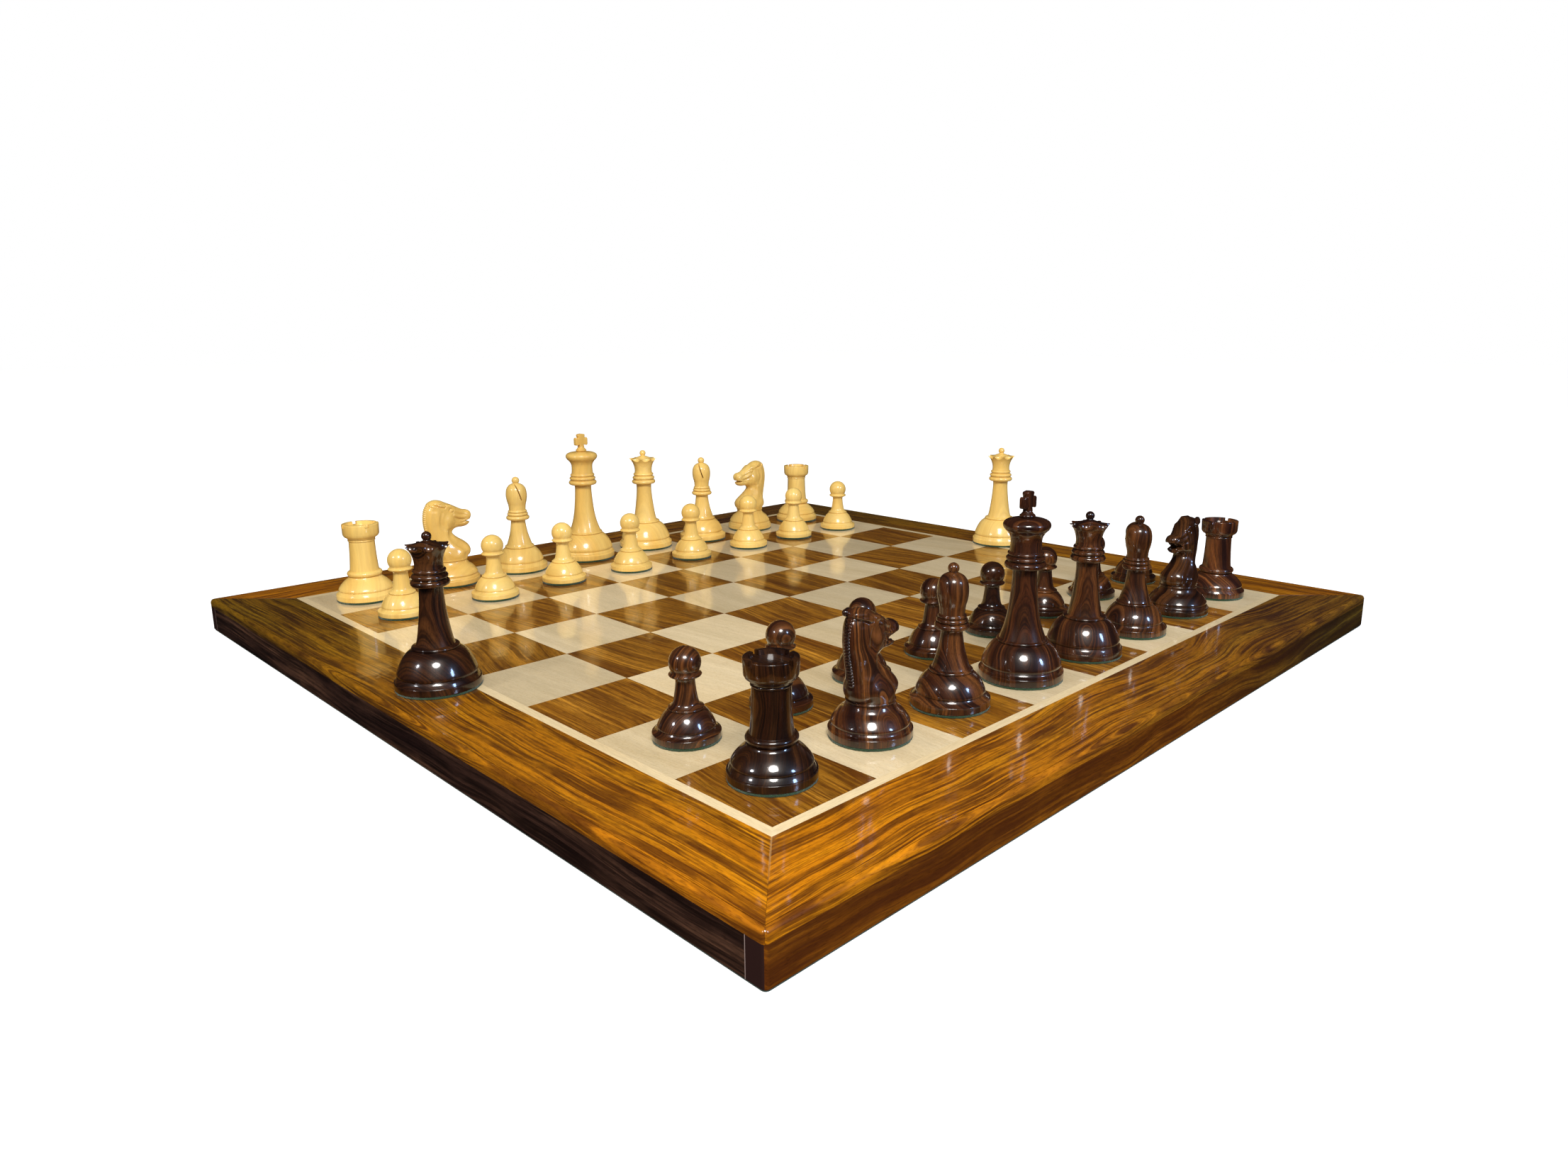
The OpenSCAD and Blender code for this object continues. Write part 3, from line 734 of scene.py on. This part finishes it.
class Carving:
    """A solid as a field over a block of cells, negative inside. Every tool works on both sides."""

    def __init__(self, low, high):
        self.low = np.array(low, float)
        count = np.ceil((np.array(high) - self.low) / CELL).astype(int) + 1
        self.axes = [(l + CELL * np.arange(n)).astype(np.float32) for l, n in zip(self.low, count)]
        self.field = np.ones(count, np.float32)

    def grids(self, window=(slice(None),) * 3):
        x, y, z = (a[w] for a, w in zip(self.axes, window))
        return x[:, None, None], np.abs(y)[None, :, None], z[None, None, :]

    def work(self, shape, points, reach, k, cut):
        """Joins or cuts a shape, looking only at the cells within reach of its points."""
        points = np.array(points, float)
        low, high = points.min(0) - reach, points.max(0) + reach
        low[1] = -high[1]
        window = tuple(slice(max(int((a - l) / CELL), 0), max(int((b - l) / CELL) + 2, 0))
                       for a, b, l in zip(low, high, self.low))
        d = shape(*self.grids(window))
        here = self.field[window]
        self.field[window] = -smooth_min(-here, d, k) if cut else smooth_min(here, d, k)

    def ball(self, c, r, k, stretch=(1, 1, 1), cut=False):
        """A ball, drawn out along the axes by stretch."""
        def shape(x, y, z):
            d = sum(((p - q) / s) ** 2 for p, q, s in zip((x, y, z), c, stretch))
            return (np.sqrt(d) - r) * min(stretch)
        self.work(shape, [c], r * max(stretch) + k + 1, k, cut)

    def rod(self, points, radii, k, cut=False):
        """Rods from point to point, of changing radius."""
        def shape(x, y, z):
            out = 1e9
            for (a, b), (ra, rb) in zip(zip(points, points[1:]), zip(radii, radii[1:])):
                e = np.array(b, float) - np.array(a, float)
                px, py, pz = x - a[0], y - a[1], z - a[2]
                t = np.clip((px * e[0] + py * e[1] + pz * e[2]) / (e @ e), 0, 1)
                d = np.sqrt((px - t * e[0]) ** 2 + (py - t * e[1]) ** 2 + (pz - t * e[2]) ** 2)
                out = np.minimum(out, d - (ra + t * (rb - ra)))
            return out
        self.work(shape, points, max(radii) + k + 1, k, cut)

    def mesh(self, name):
        """The field's surface as quads, with one point in each cell that the surface crosses."""
        inside = self.field < 0
        n = [s - 1 for s in self.field.shape]
        count = np.zeros(n, np.float32)
        total = np.zeros(n + [3], np.float32)

        def corner(array, offset):
            return array[tuple(slice(o, o + m) for o, m in zip(offset, n))]

        for axis in range(3):
            for p, q in ((0, 0), (0, 1), (1, 0), (1, 1)):
                a = np.insert([p, q], axis, 0)
                b = np.insert([p, q], axis, 1)
                fa, fb = corner(self.field, a), corner(self.field, b)
                cross = corner(inside, a) != corner(inside, b)
                t = np.where(cross, fa / np.where(cross, fa - fb, 1), 0)
                count += cross
                for k in range(3):
                    total[..., k] += cross * (a[k] + (t if k == axis else 0))
        used = np.argwhere(count > 0)
        index = np.full(n, -1)
        index[tuple(used.T)] = np.arange(len(used))
        middle = total[tuple(used.T)] / count[tuple(used.T)][:, None]
        verts = (self.low + (used + middle) * CELL) * MM
        quads = []
        for axis in range(3):
            u, v = (axis + 1) % 3, (axis + 2) % 3
            first = [slice(1, -1)] * 3
            first[axis] = slice(0, -1)
            second = list(first)
            second[axis] = slice(1, None)
            low, high = inside[tuple(first)], inside[tuple(second)]
            at = np.argwhere(low != high)
            leaving = low[tuple(at.T)]
            at[:, [u, v]] += 1
            ring = []
            for du, dv in ((-1, -1), (0, -1), (0, 0), (-1, 0)):
                cell = at.copy()
                cell[:, u] += du
                cell[:, v] += dv
                ring.append(index[tuple(cell.T)])
            ring = np.stack(ring, 1)
            quads.append(np.where(leaving[:, None], ring, ring[:, ::-1]))
        mesh = bpy.data.meshes.new(name)
        mesh.from_pydata(verts.tolist(), [], np.concatenate(quads).tolist())
        mesh.shade_smooth()
        obj = bpy.data.objects.new(name, mesh)
        bpy.context.collection.objects.link(obj)
        return obj


class Head(Carving):
    """A horse's head, first the plain horse and then its detail."""

    def __init__(self, wide):
        super().__init__((-19.5, -13.5, 16.2), (17.5, 13.5, 62))
        self.wide = wide
        # a head with an open mouth is a little shorter from back to nose
        self.lean = lean = 0.95 if wide else 1.03
        self.side_y = self.grids()[1]
        px, pz = self.side_grid()
        back = curve([(x * lean, z) for x, z in HEAD_BACK], 5)
        loop = back + curve([(x * lean, z) for x, z in HEAD_FRONT], 5)
        outline, self.along = plane_distance(px, pz, loop)
        spine = sum(math.dist(a, b) for a, b in zip(back, back[1:]))
        self.mane = np.clip((self.along - 19) / 3, 0, 1) * np.clip((spine + 1 - self.along) / 2, 0, 1)
        near = [np.exp(-((px - x * lean) ** 2 + (pz - z) ** 2) / 18) + 1e-9 for x, z, _, _ in HEAD_WIDTHS]
        width = sum(k * w for k, (_, _, w, _) in zip(near, HEAD_WIDTHS)) / sum(near)
        depth = sum(k * d for k, (_, _, _, d) in zip(near, HEAD_WIDTHS)) / sum(near)

        # away from the edge the distance is evened out, so that no crease runs down the middle
        even = outline
        for _ in range(40):
            around = np.pad(even, 1, mode="edge")
            even = (around[:-2, 1:-1] + around[2:, 1:-1] + around[1:-1, :-2] + around[1:-1, 2:]) / 4
        inner = np.clip((-outline - 1.5) / 3, 0, 1)
        self.outline = outline + (even - outline) * inner

        # an oval section at every place
        rim = np.maximum(1 + (self.outline + self.mane) / depth, 0)
        self.flank = width * np.sqrt(np.clip(1 - np.minimum(rim, 1) ** 2, 0, 1))
        a = self.side_y / width[:, None, :]
        q = rim[:, None, :]
        length = np.sqrt(a * a + q * q) + 1e-6
        steep = np.sqrt(a * a / width[:, None, :] ** 2 + q * q / depth[:, None, :] ** 2) + 1e-6
        self.field = ((length - 1) * length / steep).astype(np.float32)

    def side_grid(self):
        """The cells' places in the side view."""
        return np.meshgrid(self.axes[0], self.axes[2], indexing="ij")

    def on_flank(self, points, outs):
        """Points of the side view brought up to the flank's surface."""
        placed = []
        for (x, z), out in zip(points, outs):
            i = int(round((x * self.lean - self.low[0]) / CELL))
            k = int(round((z - self.low[2]) / CELL))
            placed.append((x * self.lean, self.flank[i, k] + out, z))
        return placed

    def groove(self, points, r, sink, k=0.5):
        """A gouge that runs in and out at its ends."""
        smooth = curve(points, 3)
        last = len(smooth) - 1
        depths = [sink * min(1, 0.15 + 1.7 * min(i, last - i) / last) for i in range(last + 1)]
        self.rod(self.on_flank(smooth, [r - d for d in depths]), [r] * len(smooth), k, cut=True)

    def ridge(self, points, radii, sink, k=0.8):
        """A rounded ridge, sunk part of the way into the flank."""
        self.rod(self.on_flank(points, [-sink] * len(points)), radii, k)

    def carve_neck(self):
        # mane: a notched comb down the back
        notch = (0.7 if self.wide else 0.3) * np.abs(np.cos(self.along * math.pi / 1.45)) ** 3
        comb = np.maximum(self.side_y - 1.5 + notch[:, None, :], (self.outline + notch)[:, None, :])
        ends = np.maximum(-2.6 - self.outline, (0.5 - self.mane) * 4)
        comb = np.maximum(comb, ends[:, None, :])
        self.field = smooth_min(self.field, comb, 0.2).astype(np.float32)
        # the flat beside the mane, a muscle of the neck, and the line from the throat over the breast
        flat = [(-12.6, 54), (-12.9, 49), (-12.9, 44), (-12.4, 38), (-11.8, 32)]
        self.groove(flat, 4.6, 0.75 if self.wide else 0.2, 0.6)
        self.groove([(-7.4, 42), (-7.6, 37), (-5.4, 31), (-0.6, 26)], 5.0, 0.5, 3.0)
        throat = [(0.2, 37.4), (-0.4, 34.6), (1.6, 31.2), (5.6, 28.2), (8.4, 25.2), (9.2, 21.4)]
        self.groove(throat, 3.0, 0.8, 2.0)

    def carve_face(self):
        lean = self.lean
        # cheek, and the groove that runs round behind it to the throat
        self.ball((-1.6 * lean, 1.9, 45), 5.2, 1.6, (1.0, 1.0, 1.08))
        self.groove([(-6.2, 51.4), (-7.5, 47.5), (-7.0, 43), (-4.4, 39.6), (-0.2, 38.2)], 1.3, 0.9, 0.8)
        # brow over a sunken eye, and the ridges down the nose and from cheek to lip
        self.ridge([(-3.4, 55.3), (0.2, 55), (3.8, 53.2)], [1.1, 1.3, 0.7], 0.5)
        self.ball((0.9 * lean, 6.6, 52.2), 2.1, 0.5, (1.25, 1, 0.95), cut=True)
        self.ball((1.0 * lean, 4.25, 52.0), 1.5, 0.12, (1.2, 1, 1))
        self.groove([(4.2, 50.3), (8.0, 48.5), (10.6, 48.1)], 1.1, 0.6, 0.9)
        self.groove([(3.2, 46.4), (7.0, 45.2), (9.6, 44.7)], 1.2, 0.75, 0.9)
        self.ridge([(2.6, 48.8), (6.4, 47.0), (10.4, 46.2)], [0.9, 0.9, 0.7], 0.5)
        # muzzle and nostril
        self.ball((12.9 * lean, 1.5, 47.4), 2.8, 1.6, (1, 1, 1.05))
        self.rod([(13.8 * lean, 4.7, 49.0), (14.9 * lean, 4.2, 47.8)], [0.8, 0.55], 0.3, cut=True)

    def carve_mouth(self):
        lean = self.lean
        if self.wide:
            jaws = [(6.4, 43.5), (11.8, 45.9), (18, 46.9), (18, 38), (12.4, 39.2), (11.9, 42.0), (7.4, 42.6)]
            corner = [(7.6, 42.9), (6.0, 42.6), (4.6, 43.1)]
            self.ball((14.0 * lean, 1.4, 46.2), 1.7, 0.8)
        else:
            jaws = [(10.6, 43.4), (13.2, 44.2), (18, 45.0), (18, 42.0), (13.2, 42.6)]
            corner = [(11.6, 43.3), (9.0, 42.8), (6.6, 42.7)]
        gape, _ = plane_distance(*self.side_grid(), [(x * lean, z) for x, z in jaws])
        self.field = -smooth_min(-self.field, gape[:, None, :] + 0 * self.side_y, 0.3).astype(np.float32)
        self.groove(corner, 0.6, 0.5, 0.3)
        if self.wide:
            # teeth
            for x, z in ((12.6, 45.6), (11.2, 45.0), (11.2, 41.9), (9.9, 42.2), (8.6, 42.5)):
                self.ball((x * lean, 1.9, z), 0.8, 0.2)

    def carve_ears(self):
        """Each ear is a lobe laid back in a hollow, with its own hollow in it."""
        if self.wide:
            lobe, size = [(-12.9, 3.2, 58.1), (-9.9, 4.6, 57.5), (-6.3, 5.2, 55.6)], 0.95
        else:
            lobe, size = [(-9.8, 3.7, 57.7), (-7.2, 4.6, 57.1), (-4.2, 5.0, 55.7)], 0.7
        for out, radii, k, cut_away in ((2.0, (2.1, 2.9, 2.5), 0.4, True),
                                        (0, (1.7, 2.2, 1.6), 0.15, False),
                                        (2.7, (0.3, 1.2, 0.7), 0.3, True)):
            points = [(x, y + out * size, z) for x, y, z in lobe]
            self.rod(points, [r * size for r in radii], k, cut=cut_away)

    def add_seat(self):
        """A low rim where the head sits on its base."""
        x, _, z = self.grids()
        seat = np.maximum(np.hypot(x, self.side_y) - 11.3, z - 17.9)
        self.field = np.maximum(smooth_min(self.field, seat, 0.35), 17.08 - z).astype(np.float32)


def knight_head(side):
    """The carved horse's head. Black horses' mouths are wide open, and white ones' nearly shut."""
    head = Head(wide=side == "black")
    head.carve_neck()
    head.carve_face()
    head.carve_mouth()
    head.carve_ears()
    head.add_seat()
    return head.mesh("knight_head_" + side)


# ---------------------------------------------------------------- the set


# How much lighter or darker a piece's wood is than the others'
TONES = {
    "black_rook_h8": -0.5, "black_knight_g8": 0.4, "black_bishop_f8": 0.3, "black_queen_spare": -0.25,
    "black_king_e8": 0.4, "black_queen_d8": 0.5, "black_rook_a8": 1.2,
    "white_rook_h1": 0.04, "white_knight_g1": -0.06, "white_bishop_f1": -0.1
}
# Which way a bishop's slit or a knight's nose points, in degrees
TURNS = {
    "white_bishop_c1": 46, "white_bishop_f1": 74, "black_bishop_c8": -34, "black_bishop_f8": 200,
    "white_knight_g1": 180, "black_knight_g8": 180
}


def place_piece(body, meshes, materials, rng):
    """The wood, the felt and any carved top of one piece, riding on its body."""
    side, kind = body.split("_")[:2]
    low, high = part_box(body)
    middle = [(low[0] + high[0]) / 2, (low[1] + high[1]) / 2, low[2]]
    grain = rng.uniform(0.0, 40.0)
    shade = rng.uniform(-0.07, 0.03) if side == "white" else rng.uniform(-0.25, 0.35)
    parts = [(kind, side, body, [body]), ("felt_" + kind, "felt", body + "_felt", [])]
    if kind == "king":
        parts.append(("king_cross", side, body + "_cross_top", [body + "_cross"]))
    if kind == "knight":
        parts.append(("knight_head_" + side, side, body + "_carved_head", [body + "_head"]))
    facing = math.radians(TURNS.get(body, 0))
    for shape, look, name, nodes in parts:
        key = (shape, look)
        if key not in meshes:
            meshes[key] = meshes[shape].copy()
            meshes[key].materials.clear()
            meshes[key].materials.append(materials[look])
        obj = bpy.data.objects.new(name + "_wood" if shape == kind else name, meshes[key])
        bpy.context.collection.objects.link(obj)
        obj.location = middle
        obj.rotation_euler.z = facing
        obj["grain"] = grain
        obj["tone"] = TONES.get(body, shade)
        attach(obj, body)
        if nodes:
            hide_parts(*nodes)


def make_pieces(materials):
    rng = random.Random(7)
    meshes = {}
    shapes = [(kind, turned(kind)) for kind in PROFILES]
    shapes += [("felt_" + kind, felt_disc(kind, rng)) for kind in PROFILES]
    shapes += [("knight_head_" + side, knight_head(side)) for side in ("white", "black")]
    shapes.append(("king_cross", king_cross()))
    for name, obj in shapes:
        meshes[name] = obj.data
        bpy.data.objects.remove(obj)
    for body in frame["record"]["behaviour"]["bodies"]:
        if body != "board":
            place_piece(body, meshes, materials, rng)


# ---------------------------------------------------------------- board


def dress_node(node, material):
    obj = frame["nodes"][node]
    obj.data.materials.clear()
    obj.data.materials.append(material)


# The borders' rounded top edge and corners, and the gap at each mitre
BORDER_EDGE_R = 2.5
BORDER_CORNER_R = 2.0
MITRE_GAP = 0.04


def strip_outline(u0, u1, inset, corner_r, n=6):
    """Plan of one mitred strip at +X, from u0 out to u1, its outer corners rounded."""
    r = corner_r - inset
    c = u1 - corner_r
    reach = c + r / math.sqrt(2)
    start = arc((c, c), r, 45, 0, n)
    upper = [(u0, u0 - MITRE_GAP), (reach, reach - MITRE_GAP)] + start[1:]
    return upper + [(x, -y) for x, y in reversed(upper)]


def border_strip(name, side, inner, outer, z0, z1, edge_r, corner_r):
    """A mitred border strip whose outer top edge is rounded over."""
    levels = [(z0, 0.0), (z1 - edge_r, 0.0)]
    levels += [(z1 - edge_r + edge_r * math.sin(t), edge_r * (1 - math.cos(t)))
               for t in [math.pi / 2 * k / 8 for k in range(1, 9)]]
    verts, faces = [], []
    for z, inset in levels:
        outline = strip_outline(inner, outer, inset, corner_r)
        for x, y in outline:
            verts.append((x, y, z))
    m = len(outline)
    for k in range(len(levels) - 1):
        for i in range(m):
            j = (i + 1) % m
            faces.append((k * m + i, k * m + j, (k + 1) * m + j, (k + 1) * m + i))
    faces.append(list(range(m - 1, -1, -1)))
    faces.append(list(range((len(levels) - 1) * m, len(levels) * m)))
    turn = math.pi / 2 * side
    cos, sin = round(math.cos(turn)), round(math.sin(turn))
    verts = [(x * cos - y * sin, x * sin + y * cos, z) for x, y, z in verts]
    return mesh_object(name, verts, faces, 40)


def make_board(materials):
    for node, look in (("core_panel", "core"), ("baize", "baize"), ("dark_squares", "dark_squares"),
                       ("light_squares", "light_squares")):
        dress_node(node, materials[look])
    sides = ["h_side", "black_side", "a_side", "white_side"]
    low, high = [[c / MM for c in corner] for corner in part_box("border_h_side")]
    for i, side in enumerate(sides):
        along = "y" if i % 2 == 0 else "x"
        dress_node("stringing_" + side, materials["string_" + along])
        dress_node("lipping_" + side, materials["lipping_" + along])
        strip = border_strip("border_strip_" + side, i, low[0], high[0], low[2], high[2],
                             BORDER_EDGE_R, BORDER_CORNER_R)
        strip.data.materials.append(materials["border_" + along])
        strip["grain"] = 3.1 + 5.7 * i
        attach(strip, "board")
        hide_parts("border_" + side)


def make_floor():
    """A plain pale floor under the board."""
    n = Nodes("floor")
    n.shader.inputs["Base Color"].default_value = (0.6, 0.6, 0.6, 1)
    n.shader.inputs["Emission Color"].default_value = (1, 1, 1, 1)
    n.set(Roughness=0.9, Emission_Strength=0.75)
    # it lies a little lower than the baize, so that the two never share a plane
    size, z = 6.0, -0.1 * MM
    corners = [(x * size, y * size, z) for x, y in ((-1, -1), (1, -1), (1, 1), (-1, 1))]
    mesh = bpy.data.meshes.new("floor")
    mesh.from_pydata(corners, [], [(0, 1, 2, 3)])
    floor = bpy.data.objects.new("floor", mesh)
    mesh.materials.append(n.material)
    floor.visible_glossy = False
    floor.visible_diffuse = False
    bpy.context.collection.objects.link(floor)


make_camera()
make_lights()
make_world()
make_floor()
looks = make_materials()
make_board(looks)
make_pieces(looks)
